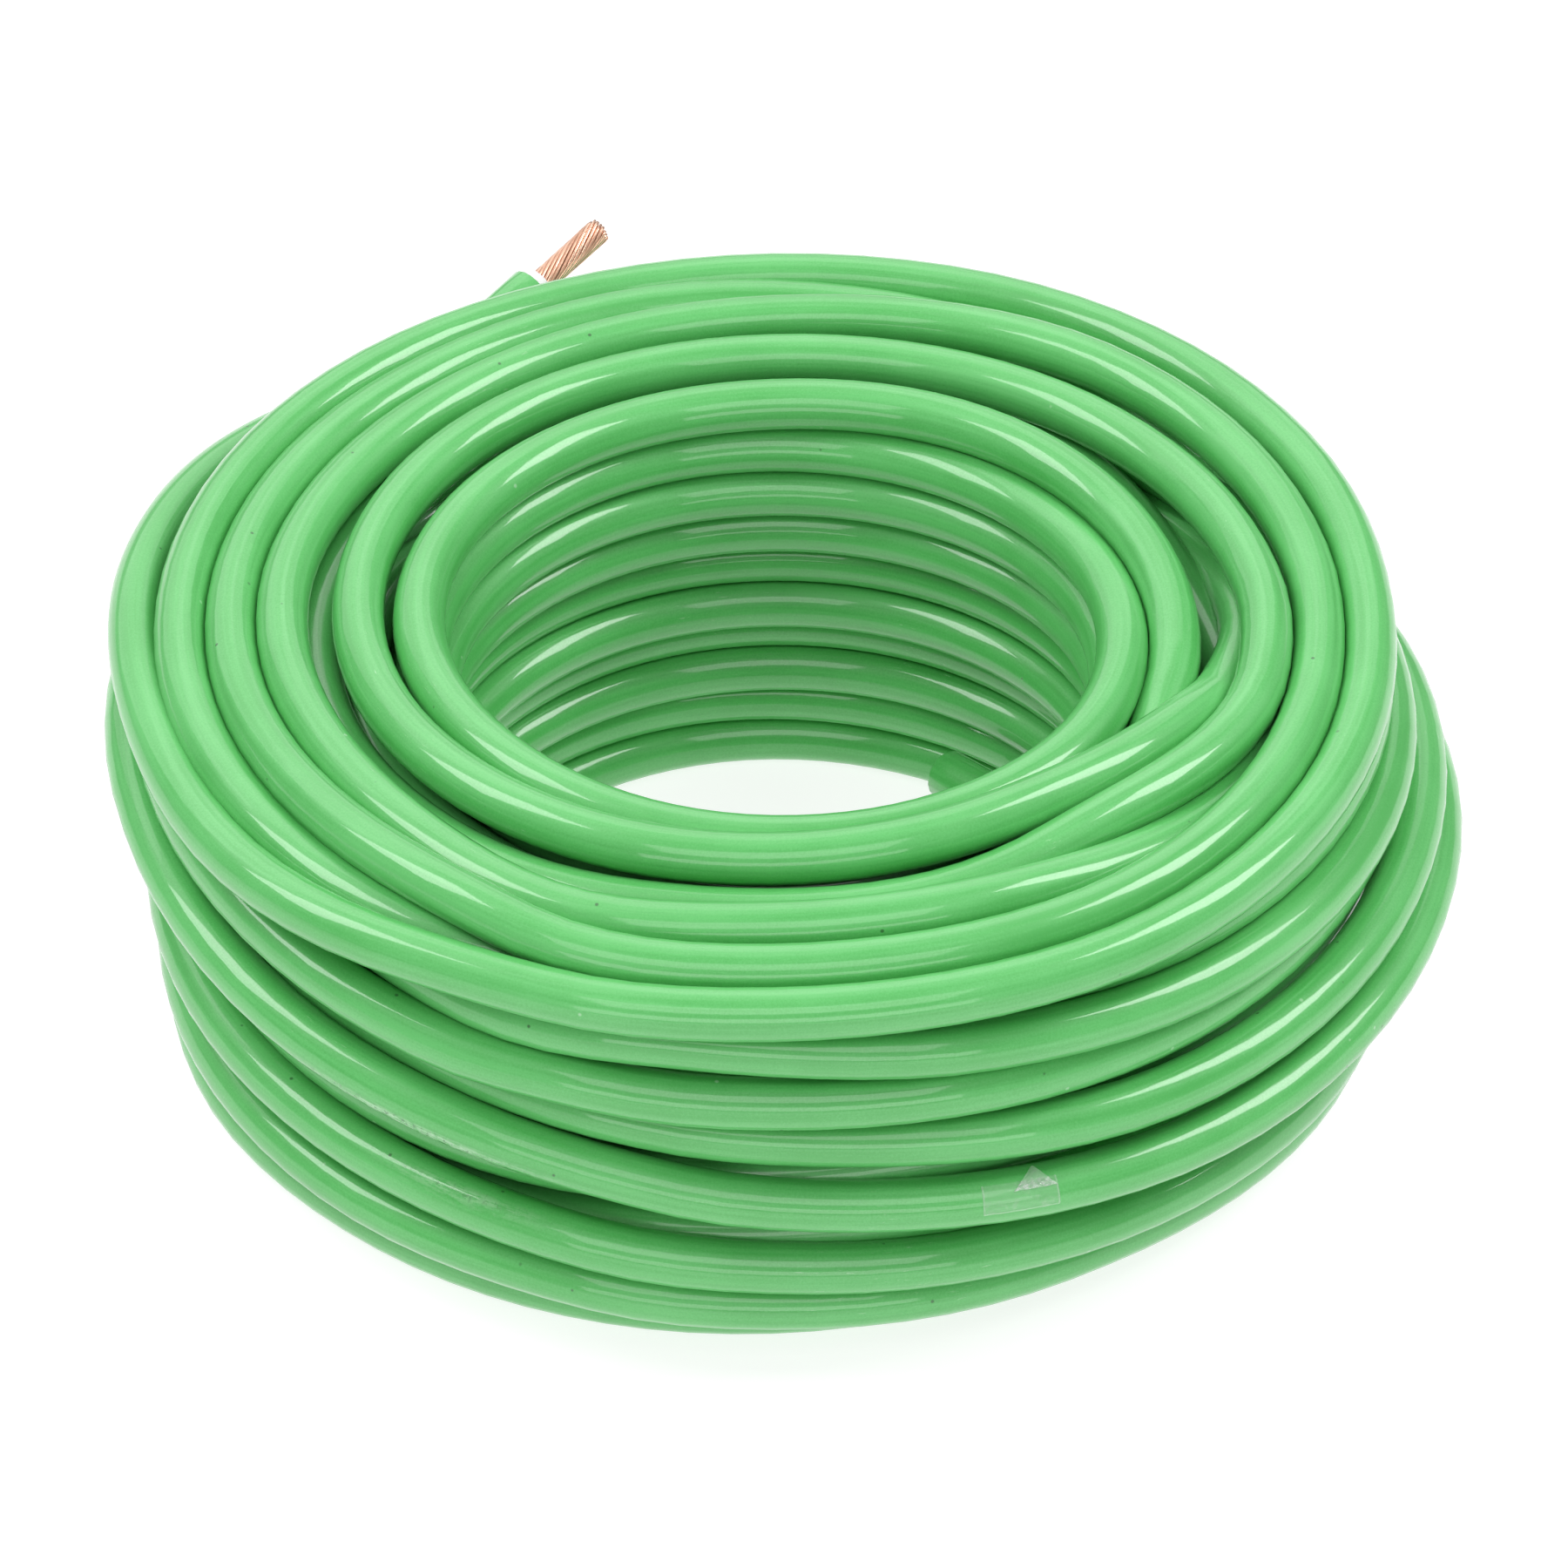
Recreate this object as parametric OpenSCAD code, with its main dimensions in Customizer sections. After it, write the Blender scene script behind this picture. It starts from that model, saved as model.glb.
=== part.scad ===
// Coil of insulated stranded copper wire, wound without a reel and lying flat.
//
// The origin is on the coil's axis, on the surface that the coil lies on, with +Z up.
// The winding is built as nested layers of closed turns. The turns of one layer press lightly
// on each other, and each layer sits in the grooves of the one inside it. The winding is tight
// on one side and loose on the other: each layer is a little larger and its centre is set off,
// so that it touches the layer inside it at the tight side only.
// Two turns are partial and run out into the wire's free ends: the first turn, at the foot of
// the eye, and the last turn, at the top of the outermost layer. Each free end is built up as
// the wire is: a green skin over white insulation over a bundle of 1 + 6 + 12 + 18 strands.

/* [Wire] */
// Outside diameter of the insulated wire
wire_od = 6.8; // [6:0.1:7.6]
// Thickness of the coloured skin over the insulation
skin_wall = 0.5; // [0.3:0.05:0.7]
// Diameter of one copper strand
strand_d = 0.5; // [0.4:0.01:0.54]
// Length in which a strand makes one turn round the bundle
lay_length = 26; // [24:1:40]

/* [Winding] */
// Free width of the eye through the coil
eye_d = 83.2; // [70:0.2:110]
// Number of turns stacked in one layer
stacked_turns = 9; // [7:1:12]
// Depth by which two turns of one layer press into each other
turn_press = 0.05; // [0.02:0.01:0.08]
// Free space between two neighbouring layers where they are tight
layer_gap = 0.1; // [0.06:0.02:0.3]
// Distance between the centres of two neighbouring layers
layer_offset = 1.03; // [0.4:0.01:1.2]
// Direction of the loose side, measured from +X towards +Y
loose_side = 39; // [20:1:60]

/* [Stripped outer end] */
// Straight length of wire behind the cut
outer_straight = 17; // [12:1:22]
// Length of conductor past the skin
bare_length = 14.1; // [6:0.1:20]
// Length of insulation that shows past the skin
insulation_step = 1.2; // [0.6:0.1:2]
// Direction in which the end points, measured from +X towards +Y
outer_heading = 46; // [40:0.5:50]
// Angle at which the end rises
outer_rise = 15; // [10:1:20]

/* [Plain inner end] */
// Straight length of wire behind the inner cut
inner_straight = 8; // [6:0.5:10]

/* [Tape] */
// Angle round the coil at which the scrap of tape is stuck
tape_angle = -71; // [-80:1:-50]
// Length of the tape along the wire
tape_length = 9; // [5:0.5:14]
// Thickness of the tape
tape_thickness = 0.1; // [0.06:0.02:0.2]

/* [Hidden] */
$fn = 64;

green = [0.42, 0.78, 0.46];
white = [0.93, 0.92, 0.93];
copper = [0.80, 0.52, 0.38];
clear = [0.85, 0.92, 0.86, 0.4];

layers = 6;
wire_r = wire_od / 2;
// Turns of one layer, and turns of neighbouring layers, centre to centre
turn_pitch = wire_od - turn_press;
touch = wire_od + layer_gap;
// Turns of one layer lie in the grooves of the layer inside it
layer_pitch = sqrt(touch * touch - turn_pitch * turn_pitch / 4);
inner_r = eye_d / 2 + wire_r;

// Free space between two pieces that are slipped over each other
slip = 0.02;
// Free space between a turn that is a piece of its own and the turn that it lies on or under
seat = 0.02;

// Strands lie on circles that are one strand and a little air apart
strand_air = 0.02;
strand_step = strand_d + strand_air;
strand_sides = 6;
// Height of one slice of the twisted strands
strand_slice = 1.4;
strand_rings = 3;
conductor_r = strand_rings * strand_step + strand_d / 2;
// Free space round the conductor in the insulation
bore_gap = 0.03;
bore_r = conductor_r + bore_gap;
insulation_r = wire_r - skin_wall - slip;
// The strands are cut shorter towards the outside, so the tip is rounded
tip_drop = [0, 0.1, 0.35, 0.9];

// The first turn is open where the inner tail leaves it
first_start = -50;
first_end = 270;
// The last turn is open where the outer tail leaves it and passes outside its start
last_start = -140;
last_end = 170;
last_r = layer_r(layers);
last_z = layer_foot(layers) + (stacked_turns - 1) * turn_pitch + turn_press + seat;

// Routes of the free ends as [angle round the layer, way out, way up].
// The angle is in degrees, and the two ways are in wire diameters, counted from the turn
// that the end leaves.
outer_route = [[220, 0, 0], [211, 0.05, 0], [202, 0.2, 0], [193, 0.46, -0.04], [185, 0.74, -0.13],
    [177, 0.98, -0.28], [169, 1.12, -0.54], [160, 1.18, -0.92], [151, 1.21, -1.36],
    [142, 1.23, -1.8], [133, 1.24, -2.17], [123, 1.25, -2.4]];
inner_route = [[-90, 0, 0], [-80, -0.15, 0], [-70, -0.4, 0.05], [-60, -0.7, 0.2],
    [-50, -0.95, 0.42], [-38, -1.03, 0.75], [-25, -1.04, 1.08], [-12, -1.05, 1.3],
    [0, -1.06, 1.4], [11, -1.07, 1.42], [22, -1.08, 1.4], [31, -1.09, 1.36], [40, -1.1, 1.33]];
inner_heading = 132;
inner_rise = -6;
cord_sides = 12;

function layer_centre(layer) =
    (layer - 1) * layer_offset * [cos(loose_side), sin(loose_side), 0];
function layer_r(layer) = inner_r + (layer - 1) * (layer_pitch + layer_offset);
function layer_foot(layer) = wire_r + (layer % 2 == 1 ? 0 : turn_pitch / 2);

function unit(v) = v / norm(v);
function heading_vector(heading, rise) =
    [cos(heading) * cos(rise), sin(heading) * cos(rise), sin(rise)];
function route_points(route, layer, z) = [for (p = route)
    let (out = layer_r(layer) + p[1] * wire_od)
    layer_centre(layer) + [out * cos(p[0]), out * sin(p[0]), z + p[2] * wire_od]];

outer_path = route_points(outer_route, layers, last_z);
inner_path = route_points(inner_route, 1, wire_r);
outer_root = outer_path[len(outer_path) - 1];
inner_root = inner_path[len(inner_path) - 1];

// Direction of the path at point i: the given one at each end, and the chord between the
// neighbouring points everywhere else
function path_direction(path, i, first, last) =
    i == 0 ? first : i == len(path) - 1 ? last : unit(path[i + 1] - path[i - 1]);

// One ring of points round the path, in the plane across its direction
function ring_points(centre, direction) =
    let (side = unit(cross([0, 0, 1], direction)), up = cross(direction, side))
    [for (j = [0 : cord_sides - 1])
        centre + wire_r * (cos(360 * j / cord_sides) * side + sin(360 * j / cord_sides) * up)];

// Round tube along a path, closed at both ends
module tube(path, first, last) {
    rings = len(path);
    points = [for (i = [0 : rings - 1])
        each ring_points(path[i], path_direction(path, i, first, last))];
    walls = [for (i = [0 : rings - 2], j = [0 : cord_sides - 1])
        let (a = i * cord_sides, k = (j + 1) % cord_sides)
        [a + j, a + cord_sides + j, a + cord_sides + k, a + k]];
    first_cap = [for (j = [0 : cord_sides - 1]) j];
    last_cap = [for (j = [0 : cord_sides - 1]) rings * cord_sides - 1 - j];
    polyhedron(points, concat(walls, [first_cap, last_cap]));
}

// Places its children on a free end: +Z along the wire, from the start of the straight part
module on_end(root, heading, rise) {
    translate(root) rotate([0, 90 - rise, heading]) children();
}

module pipe(r_out, r_in, length) {
    difference() {
        cylinder(r = r_out, h = length);
        translate([0, 0, -1]) cylinder(r = r_in, h = length + 2);
    }
}

// Section of one turn of wire
module turn_section(r, z) {
    translate([r, z]) circle(r = wire_r);
}

// Layers, counted from the eye outwards. The lowest turn of the first layer is left to first_turn,
// and the highest of the outermost layer to last_turn.
module winding_layer(layer) {
    lowest = layer == 1 ? 1 : 0;
    highest = layer == layers ? stacked_turns - 2 : stacked_turns - 1;
    color(green) translate(layer_centre(layer)) rotate_extrude()
        for (row = [lowest : highest])
            turn_section(layer_r(layer), layer_foot(layer) + row * turn_pitch);
}

// The lowest turn of the eye, pressed flat on top where the next turn lies on it
module first_turn() {
    color(green) rotate([0, 0, first_start]) rotate_extrude(angle = first_end - first_start)
        intersection() {
            turn_section(inner_r, wire_r);
            translate([inner_r - wire_od, 0]) square([2 * wire_od, turn_pitch - seat]);
        }
}

// The last turn, from the back left round the back, right and front of the coil
module last_turn() {
    color(green) translate(layer_centre(layers)) rotate([0, 0, last_start])
        rotate_extrude(angle = last_end - last_start) turn_section(last_r, last_z);
}

module inner_tail() {
    color(green) tube(inner_path, [1, 0, 0], heading_vector(inner_heading, inner_rise));
}

module outer_tail() {
    color(green) tube(outer_path, heading_vector(last_start - 90, 0),
        heading_vector(outer_heading, outer_rise));
}

module inner_end_skin() {
    color(green) on_end(inner_root, inner_heading, inner_rise)
        pipe(wire_r, wire_r - skin_wall, inner_straight);
}

module inner_end_insulation() {
    color(white) on_end(inner_root, inner_heading, inner_rise)
        pipe(insulation_r, bore_r, inner_straight);
}

module outer_end_skin() {
    color(green) on_end(outer_root, outer_heading, outer_rise)
        pipe(wire_r, wire_r - skin_wall, outer_straight);
}

module outer_end_insulation() {
    color(white) on_end(outer_root, outer_heading, outer_rise)
        pipe(insulation_r, bore_r, outer_straight + insulation_step);
}

// One ring of the strand bundle, twisted to the left as it goes along the wire
module strand_ring(ring, length) {
    linear_extrude(height = length, twist = 360 * length / lay_length,
            slices = round(length / strand_slice), $fn = strand_sides)
        for (i = [0 : 6 * ring - 1])
            rotate(60 / ring * i) translate([ring * strand_step, 0]) circle(d = strand_d);
}

module straight_strand(length) {
    cylinder(d = strand_d, h = length);
}

// The whole bundle, cut flush with the wire
module inner_end_strands() {
    color(copper) on_end(inner_root, inner_heading, inner_rise) {
        straight_strand(inner_straight);
        for (ring = [1 : strand_rings]) strand_ring(ring, inner_straight);
    }
}

module core_strand() {
    color(copper) on_end(outer_root, outer_heading, outer_rise)
        straight_strand(outer_straight + bare_length - tip_drop[0]);
}

module strand_layer(ring) {
    color(copper) on_end(outer_root, outer_heading, outer_rise)
        strand_ring(ring, outer_straight + bare_length - tip_drop[ring]);
}

// Clear tape on the outer side of one turn of the outermost layer, between the turns that
// touch it above and below
module tape_scrap() {
    row = 3;
    arc = tape_length / last_r * 180 / PI;
    past_middle = 1.25;
    face_r = wire_r + slip;
    color(clear) translate(layer_centre(layers)) rotate([0, 0, tape_angle - arc / 2])
        rotate_extrude(angle = arc)
            translate([last_r, layer_foot(layers) + row * turn_pitch]) intersection() {
                difference() {
                    circle(r = face_r + tape_thickness);
                    circle(r = face_r);
                }
                translate([past_middle, -wire_od]) square([wire_od, 2 * wire_od]);
            }
}

winding_layer(1);  // winding_layer_1
winding_layer(2);  // winding_layer_2
winding_layer(3);  // winding_layer_3
winding_layer(4);  // winding_layer_4
winding_layer(5);  // winding_layer_5
winding_layer(6);  // winding_layer_6
first_turn();
last_turn();
inner_tail();
outer_tail();
inner_end_skin();
inner_end_insulation();
inner_end_strands();
outer_end_skin();
outer_end_insulation();
core_strand();
strand_layer(1);  // strand_layer_1
strand_layer(2);  // strand_layer_2
strand_layer(3);  // strand_layer_3
tape_scrap();
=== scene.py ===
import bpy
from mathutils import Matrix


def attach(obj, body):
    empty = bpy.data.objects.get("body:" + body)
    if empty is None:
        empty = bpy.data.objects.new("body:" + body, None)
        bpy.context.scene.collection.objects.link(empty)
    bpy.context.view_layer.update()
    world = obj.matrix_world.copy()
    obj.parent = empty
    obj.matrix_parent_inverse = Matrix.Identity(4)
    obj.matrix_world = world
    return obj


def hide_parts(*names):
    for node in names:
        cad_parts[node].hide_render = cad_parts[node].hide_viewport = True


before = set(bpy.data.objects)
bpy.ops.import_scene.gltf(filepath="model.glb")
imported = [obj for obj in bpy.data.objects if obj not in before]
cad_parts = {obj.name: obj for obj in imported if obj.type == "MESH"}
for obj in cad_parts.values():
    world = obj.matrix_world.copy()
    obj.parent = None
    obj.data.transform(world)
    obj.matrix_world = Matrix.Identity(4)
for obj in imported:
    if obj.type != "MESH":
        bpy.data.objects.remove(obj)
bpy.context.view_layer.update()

import math

import bpy
import numpy as np
from mathutils import Vector

bl_info = {
    "name": "Wire Coil",
    "version": (1, 0, 0),
    "blender": (4, 5, 0),
    "location": "View3D > Sidebar > Wire Coil",
    "description": "Dresses a coil of insulated stranded wire that is wound without a reel",
    "category": "Object",
}

# ------------------------------------------------------------------ the route of the wire
# Distances are in wire diameters. A turn starts at the front, and runs clockwise seen from above.
# Each point is (turn, distance out, height), and each list counts its turns from its own start.

# the wall of the eye, from the floor up
INNER_COLUMN = [
    (0.0, 6.8, 0.5), (0.5, 7.3, 0.5), (1.0, 6.95, 1.45), (1.5, 7.35, 1.4), (2.0, 6.8, 2.4), (2.5, 7.15, 2.35),
    (3.0, 6.7, 3.3), (3.5, 7.2, 3.3), (4.0, 6.6, 4.2), (4.5, 6.9, 4.2), (5.0, 6.55, 5.1), (5.5, 6.95, 5.15),
    (6.0, 6.5, 6.0), (6.5, 6.8, 6.05), (7.0, 6.4, 6.9), (7.5, 6.7, 7.0), (8.0, 6.35, 7.7), (8.5, 6.8, 7.95),
    (8.75, 6.75, 8.5)]
# the innermost turn on the top
INNER_TOP = [
    (9.0, 6.4, 8.55), (9.125, 6.45, 8.75), (9.25, 6.65, 8.85), (9.375, 6.75, 8.9), (9.5, 6.85, 8.9),
    (9.625, 7.25, 8.85), (9.75, 7.6, 8.5), (9.85, 7.7, 7.9)]
# the next two turns on the top, from where they come up between the hidden ones
SECOND_TOP = [
    (-0.35, 9.4, 7.4), (-0.27, 9.2, 7.85), (-0.23, 8.65, 8.2), (-0.19, 8.15, 8.75), (-0.16, 7.9, 9.0),
    (-0.125, 7.55, 9.05), (-0.06, 7.22, 9.0), (0.0, 7.15, 8.95),
    (0.125, 7.45, 8.95), (0.25, 7.8, 8.9), (0.375, 8.2, 8.9), (0.5, 8.5, 8.85), (0.625, 8.95, 8.85),
    (0.75, 9.25, 8.85), (0.875, 8.95, 8.7), (1.0, 8.1, 8.35), (1.125, 8.2, 8.0), (1.25, 8.6, 8.0)]
THIRD_TOP = [
    (-0.3, 9.7, 7.6), (-0.2, 9.75, 8.0), (-0.125, 9.25, 8.6), (0.0, 9.1, 8.85), (0.06, 9.3, 8.75),
    (0.125, 9.2, 8.85), (0.25, 9.28, 8.85), (0.375, 9.5, 8.75), (0.5, 9.95, 8.8), (0.625, 10.4, 8.9),
    (0.75, 10.4, 8.65), (0.875, 10.3, 8.7), (1.0, 10.05, 8.65), (1.06, 10.25, 8.6), (1.125, 10.15, 8.75),
    (1.25, 10.25, 8.7), (1.375, 10.7, 8.6), (1.5, 10.75, 8.55), (1.6, 10.9, 7.8)]
# the outer face, from the floor up, and the last turns on the top
OUTSIDE = [
    (0.0, 9.85, 0.5), (0.06, 10.12, 0.5), (0.125, 10.5, 0.5), (0.19, 11.0, 0.5), (0.25, 11.15, 0.6),
    (0.5, 11.3, 0.6), (0.75, 11.3, 0.6), (0.875, 10.7, 0.95), (1.0, 10.75, 1.45), (1.125, 11.1, 1.65),
    (1.25, 11.35, 1.8), (1.5, 11.6, 1.6), (1.75, 11.5, 1.6), (1.875, 11.15, 2.0), (2.0, 10.9, 2.4),
    (2.25, 11.45, 3.2), (2.5, 11.7, 3.0), (2.75, 12.75, 4.15), (2.875, 12.0, 3.75), (3.0, 10.9, 3.95),
    (3.125, 11.3, 5.2), (3.25, 12.2, 6.4), (3.5, 11.8, 5.0), (3.75, 12.4, 5.3), (3.875, 11.75, 5.0),
    (4.0, 10.5, 5.2), (4.25, 11.2, 5.9), (4.5, 11.5, 5.9), (4.75, 11.6, 6.1), (4.875, 11.2, 6.2),
    (5.0, 10.8, 6.3), (5.125, 11.2, 6.7), (5.25, 11.5, 7.3), (5.5, 11.35, 6.75), (5.75, 11.6, 6.4),
    (5.875, 11.3, 6.8), (6.0, 10.4, 7.5), (6.25, 10.9, 7.6), (6.5, 10.9, 7.4), (6.75, 11.25, 7.4),
    (6.875, 10.9, 7.65), (7.0, 10.1, 7.5), (7.06, 10.3, 7.7), (7.1, 10.55, 8.0), (7.25, 11.15, 8.55),
    (7.375, 11.4, 8.55), (7.44, 11.55, 8.5), (7.5, 11.7, 8.5), (7.57, 11.9, 8.5), (7.625, 11.85, 8.5),
    (7.67, 11.65, 8.5), (7.75, 11.25, 8.5), (7.875, 11.15, 8.5), (8.0, 10.97, 8.45), (8.125, 11.3, 8.4),
    (8.25, 12.05, 8.25)]

# the layers that nothing shows: number of turns, distance out, height of the first and of the last
HIDDEN_TURNS = [(8, 7.35, 7.6, 0.95), (7, 8.25, 0.5, 7.0), (7, 8.95, 7.0, 0.95), (7, 9.6, 0.5, 7.0),
                (5, 10.2, 6.6, 1.6)]

# the wire's two free ends, from the winding to the cut: degrees from the right, distance out, height
INNER_ROUTE = [(-80, 6.5, 0.5), (-70, 6.4, 0.52), (-60, 6.2, 0.62), (-50, 5.95, 0.82), (-38, 5.7, 1.16),
               (-25, 5.58, 1.5), (-12, 5.56, 1.77), (0, 5.555, 1.9), (11, 5.548, 1.92), (22, 5.538, 1.91),
               (31, 5.528, 1.88), (40, 5.518, 1.83)]
INNER_HEADING = (-0.6655, 0.7391, -0.1045)
INNER_STRAIGHT = 0.008
OUTER_ROUTE = [(171, 12.3, 8.1), (163, 12.45, 7.95), (155, 12.6, 7.72), (147, 12.75, 7.42), (138.7, 12.88, 7.05),
               (129.7, 13.01, 6.66)]
OUTER_CUT = (-4.8416, 13.1585, 7.1948)
OUTER_HEADING = (0.6710, 0.6948, 0.2588)
OUTER_STRAIGHT = 0.017

# the whitened tracks: their middle and half their length, in turns of the outer face's list, the way round
# the wire that they face, in degrees, and how strong they are. The first is a rubbed scuff along the underside of
# the taped turn; the second, along the top of the one below it, is a faint scuff with a painted highlight whitened
# into it.
RUBBED_AND_SHEEN = [(3.097, 0.045, -152, 1.0), (2.085, 0.03, 125, 0.4)]

# the clear tape: the side of the coil that it is on, in degrees from the right, its height, in wire
# diameters, and its thickness
TAPE_AT = -67.0
TAPE_HEIGHT = 3.95
TAPE_THICK = 0.00004

# how firmly a turn keeps to its points: in the eye's wall, elsewhere in sight, and out of sight
HOLD_WALL, HOLD_SEEN, HOLD_HIDDEN = 0.3, 0.6, 0.004
TOUCHING = 0.985    # the distance at which two turns stop pushing, in wire diameters

# the camera: degrees above the horizon, what it looks at and from how far, in wire diameters, and its lens
CAMERA_ELEVATION = 38.5
CAMERA_TARGET = (0.233, 0.0, 4.97)
CAMERA_DISTANCE = 170.0
CAMERA_LENS = 204.0

# the lamps: name, place, height of the point that it faces, width, height, power
LAMPS = [
    ("top_light", (-0.3, 0.45, 1.0), 0.0, 1.3, 0.9, 2.6),
    ("back_light", (-0.3, 1.3, 0.95), 0.0, 2.3, 1.4, 11.0),
    ("front_light", (0.0, -0.85, 1.1), 0.02, 1.1, 0.6, 5.0),
    ("front_fill", (0.0, -1.4, 0.35), 0.02, 1.6, 0.4, 5.4),
    ("left_light", (-0.6, 0.0, 0.75), 0.02, 0.35, 0.5, 3.6),
    ("right_light", (0.6, 0.05, 0.75), 0.02, 0.35, 0.5, 5.0)]

RIM_RINGS = 4           # rings of the skin's mesh at each cut, besides those along its line
BORE = 0.0014           # depth to which the skin's bore is open at a cut
STRAND_START = -0.003   # where the strands begin, inside the skin


class CoilSizes(bpy.types.PropertyGroup):
    """The sizes of the wire and of what shows at its ends."""
    wire: bpy.props.FloatProperty(
        name="Wire", description="Diameter over the green skin", default=0.0068, unit="LENGTH", precision=5)
    insulation: bpy.props.FloatProperty(
        name="Insulation", description="Diameter over the white insulation", default=0.0058, unit="LENGTH",
        precision=5)
    strand: bpy.props.FloatProperty(
        name="Strand", description="Diameter of one copper strand", default=0.0005, unit="LENGTH", precision=5)
    lay: bpy.props.FloatProperty(
        name="Lay", description="Length along the wire in which a strand goes once round", default=0.026,
        unit="LENGTH", precision=4)
    bare: bpy.props.FloatProperty(
        name="Bare", description="Length of bare copper past the insulation at the outer end", default=0.0126,
        unit="LENGTH", precision=4)
    step: bpy.props.FloatProperty(
        name="Step", description="Length of white insulation past the cut skin", default=0.0015, unit="LENGTH",
        precision=4)
    tape: bpy.props.FloatProperty(
        name="Tape", description="Width of the scrap of clear tape along the wire", default=0.0095, unit="LENGTH",
        precision=4)
    rings: bpy.props.IntProperty(
        name="Rings", description="Rings of the wire's surface in one turn", default=84, min=24)
    sides: bpy.props.IntProperty(
        name="Sides", description="Sides of the wire's surface", default=18, min=8)
    settling: bpy.props.IntProperty(
        name="Settling", description="Steps in which the turns push each other apart", default=360, min=0)


class CoilColours(bpy.types.PropertyGroup):
    """The colours of the wire's materials."""
    skin: bpy.props.FloatVectorProperty(
        name="Skin", description="Green PVC skin", default=(0.120, 0.505, 0.141), subtype="COLOR")
    skin_deep: bpy.props.FloatVectorProperty(
        name="Skin, deep", description="Denser streaks in the green skin", default=(0.072, 0.410, 0.087),
        subtype="COLOR")
    # this colour also whitens the second track, where part of the whitening is a painted highlight
    scuff: bpy.props.FloatVectorProperty(
        name="Scuff", description="Whitened scuffs and dust on the skin", default=(0.62, 0.80, 0.62),
        subtype="COLOR")
    dirt: bpy.props.FloatVectorProperty(
        name="Dirt", description="Dark specks and rubbed dirt", default=(0.03, 0.12, 0.035), subtype="COLOR")
    insulation: bpy.props.FloatVectorProperty(
        name="Insulation", description="White PVC under the skin", default=(0.84, 0.81, 0.83), subtype="COLOR")
    smear: bpy.props.FloatVectorProperty(
        name="Smear", description="Smears on the white PVC", default=(0.72, 0.74, 0.70), subtype="COLOR")
    copper: bpy.props.FloatVectorProperty(
        name="Copper", description="Bright drawn copper", default=(0.86, 0.55, 0.41), subtype="COLOR")
    copper_dull: bpy.props.FloatVectorProperty(
        name="Copper, dull", description="Slightly tarnished copper", default=(0.58, 0.34, 0.24),
        subtype="COLOR")
    tape: bpy.props.FloatVectorProperty(
        name="Tape", description="Clear tape", default=(0.86, 0.93, 0.87), subtype="COLOR")


# ------------------------------------------------------------------ curves and surfaces

def through(x, px, py):
    """A smooth curve through points: between two of them, the cubic whose slope at each end is the
    distance-weighted mean of the slopes of the two straight pieces that meet there."""
    step = np.diff(px)[:, None]
    slope = np.diff(py, axis=0) / step
    ends = np.empty_like(py)
    ends[1:-1] = (slope[:-1] * step[1:] + slope[1:] * step[:-1]) / (step[1:] + step[:-1])
    ends[0], ends[-1] = slope[0], slope[-1]
    i = np.clip(np.searchsorted(px, x, "right") - 1, 0, len(px) - 2)
    h = step[i]
    t = (x - px[i])[:, None] / h
    return ((2 * t**3 - 3 * t**2 + 1) * py[i] + (t**3 - 2 * t**2 + t) * h * ends[i]
            + (3 * t**2 - 2 * t**3) * py[i + 1] + (t**3 - t**2) * h * ends[i + 1])


def eased(points, share, passes):
    """Points drawn towards the middle of their two neighbours, again and again, each by its share."""
    points = points.copy()
    for _ in range(passes):
        points[1:-1] += 0.25 * share[1:-1, None] * (points[:-2] + points[2:] - 2 * points[1:-1])
    return points


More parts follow.
